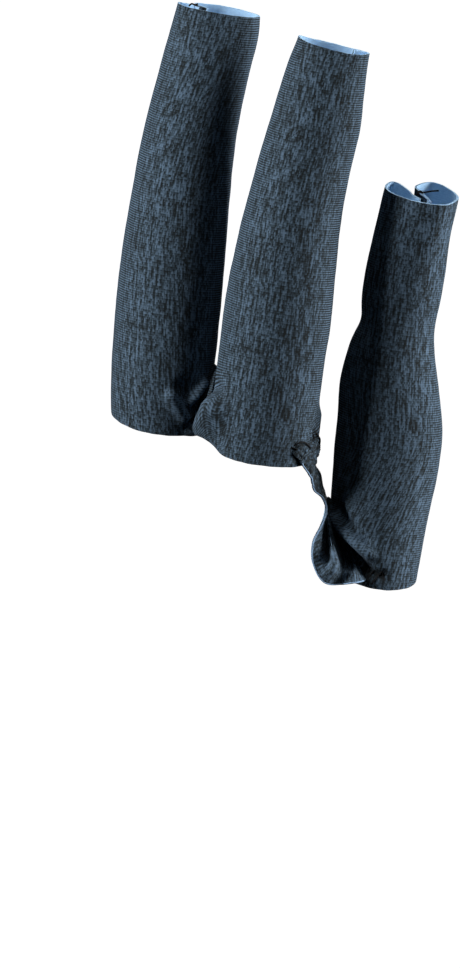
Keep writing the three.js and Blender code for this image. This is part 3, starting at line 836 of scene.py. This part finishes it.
blackStitches = sewnLines(ringSleeve, ringStitches) + sewnLines(littleSleeve, littleStitches)
makeThreads("black_stitches", blackStitches, threadRadius["stitch"], blackThread)

# knot and tail where the little sleeve's seam ends in its mouth, and a thread end in the middle one's
littleKnot = [
    [(24.1, -2, 59.1), (24.2, -1.5, 59.8), (24.7, -1.2, 59.9), (25, -1.6, 59.4), (24.5, -2, 59.2),
     (24.2, -1.6, 59.6)],
    [(24.5, -1.5, 59.6), (25.7, -1.3, 59.9), (27, -1.2, 60.3), (28.4, -1, 60.6)],
]
middleEnd = [[(-29.3, 3.4, 90.7), (-28.8, 3.8, 91.2), (-28.1, 4.2, 91), (-27.5, 4.3, 91.3)]]
makeThreads("mouth_threads", littleKnot + middleEnd, threadRadius["knot"], blackThread)

# thin pale fold beside the knot
mouthFlap = [[(24.6, -2, 59.5), (25.6, -3.2, 59.2), (26.6, -4.4, 58.8), (27.2, -5.2, 58.5)]]
makeThreads("mouth_flap", mouthFlap, threadRadius["flap"], paleYarn)

# raw edge of the ruffled web: a roll of pale yarn from the ring sleeve's hem to its last corner
edgeFrom, edgeTo = 20, 237  # columns of the web
rawEdge = ringLittleWeb["rawEdge"][edgeFrom:edgeTo]
makeThreads("web_edge_yarn", [rawEdge], threadRadius["rawEdge"], paleYarn)
print("threads made")


# camera: the sleeves lean to the right in the picture, so it is rolled and not the wrap
camera = {
    "aim": (-5.63, 0, -7.74), "distance": 1000.0, "elevation": 8.0, "roll": 8.7,
    "frameTall": 203.3,  # height of the picture, seen without perspective as through a very long lens
    "clip": (0.05, 20),  # in metres
}


def addCamera():
    data = bpy.data.cameras.new("camera")
    data.type = "ORTHO"
    data.ortho_scale = camera["frameTall"] * mm
    data.clip_start, data.clip_end = camera["clip"]
    eye = bpy.data.objects.new("camera", data)
    scene.collection.objects.link(eye)
    tilt = math.radians(camera["elevation"])
    back = Vector((0, -math.cos(tilt), math.sin(tilt)))
    place = Matrix.Translation((Vector(camera["aim"]) + back * camera["distance"]) * mm)
    turn = (-back).to_track_quat("-Z", "Y").to_matrix().to_4x4()
    eye.matrix_world = place @ turn @ Matrix.Rotation(math.radians(camera["roll"]), 4, "Z")
    scene.camera = eye


# soft boxes: place, what they face, size in metres and power in watts
softBoxes = [
    {"name": "keyLeft", "place": (-0.796, -0.325, 0.3), "faces": (0, 0, 0.02),
     "size": (0.22, 0.7), "power": 11.6},
    {"name": "keyRight", "place": (0.86, 0.0, 0.22), "faces": (0, 0, 0.02),
     "size": (0.3, 0.7), "power": 13.6},
    {"name": "top", "place": (-0.05, -0.35, 0.9), "faces": (0, 0, 0.04),
     "size": (0.4, 0.4), "power": 0.8},
    {"name": "back", "place": (0.05, 0.9, 0.12), "faces": (0, 0, 0.02),
     "size": (0.5, 0.5), "power": 4.0},
]
ambient = 0.003


def addLights():
    for box in softBoxes:
        data = bpy.data.lights.new(box["name"], "AREA")
        data.shape = "RECTANGLE"
        data.size, data.size_y = box["size"]
        data.energy = box["power"]
        lamp = bpy.data.objects.new(box["name"], data)
        scene.collection.objects.link(lamp)
        lamp.location = box["place"]
        look = Vector(box["faces"]) - Vector(box["place"])
        lamp.rotation_euler = look.to_track_quat("-Z", "Y").to_euler()
    world = scene.world or bpy.data.worlds.new("world")
    scene.world = world
    world.use_nodes = True
    sky = world.node_tree.nodes["Background"]
    sky.inputs["Color"].default_value = (1, 1, 1, 1)
    sky.inputs["Strength"].default_value = ambient
    scene.view_settings.view_transform = "Standard"


# a round floor that curves up into a wall, bright for the picture, throwing no light back on the cloth
cove = {
    "floorZ": -0.3, "floorRadius": 1.6, "bend": 0.8, "wallTop": 2.5,
    "bendSteps": 8, "turnSteps": 64, "weld": 1e-5,
    "paper": (0.8, 0.8, 0.8), "glow": 0.93, "roughness": 1, "specular": 0,
}


def addFloor():
    bm = bmesh.new()
    profile = [(0, cove["floorZ"]), (cove["floorRadius"], cove["floorZ"])]
    for step in range(1, cove["bendSteps"] + 1):
        a = math.pi / 2 * step / cove["bendSteps"]
        profile.append((cove["floorRadius"] + cove["bend"] * math.sin(a),
                        cove["floorZ"] + cove["bend"] * (1 - math.cos(a))))
    profile.append((profile[-1][0], cove["wallTop"]))
    verts = [bm.verts.new((x, 0, z)) for x, z in profile]
    edges = [bm.edges.new(pair) for pair in zip(verts, verts[1:])]
    bmesh.ops.spin(bm, geom=verts + edges, cent=(0, 0, 0), axis=(0, 0, 1), angle=2 * math.pi,
                   steps=cove["turnSteps"], use_merge=True)
    bmesh.ops.remove_doubles(bm, verts=bm.verts[:], dist=cove["weld"])
    bmesh.ops.recalc_face_normals(bm, faces=bm.faces[:])
    for face in bm.faces:
        face.smooth = True
    mesh = bpy.data.meshes.new("floor")
    bm.to_mesh(mesh)
    bm.free()
    floor = bpy.data.objects.new("floor", mesh)
    scene.collection.objects.link(floor)
    material, _, shader = newMaterial("palePaper")
    shader.inputs["Base Color"].default_value = (*cove["paper"], 1)
    setSurface(shader, cove)
    shader.inputs["Emission Color"].default_value = (1, 1, 1, 1)
    shader.inputs["Emission Strength"].default_value = cove["glow"]
    mesh.materials.append(material)
    floor.visible_diffuse = False
    floor.visible_glossy = False
    floor.visible_shadow = False


addCamera()
addLights()
addFloor()
print("stage ready")
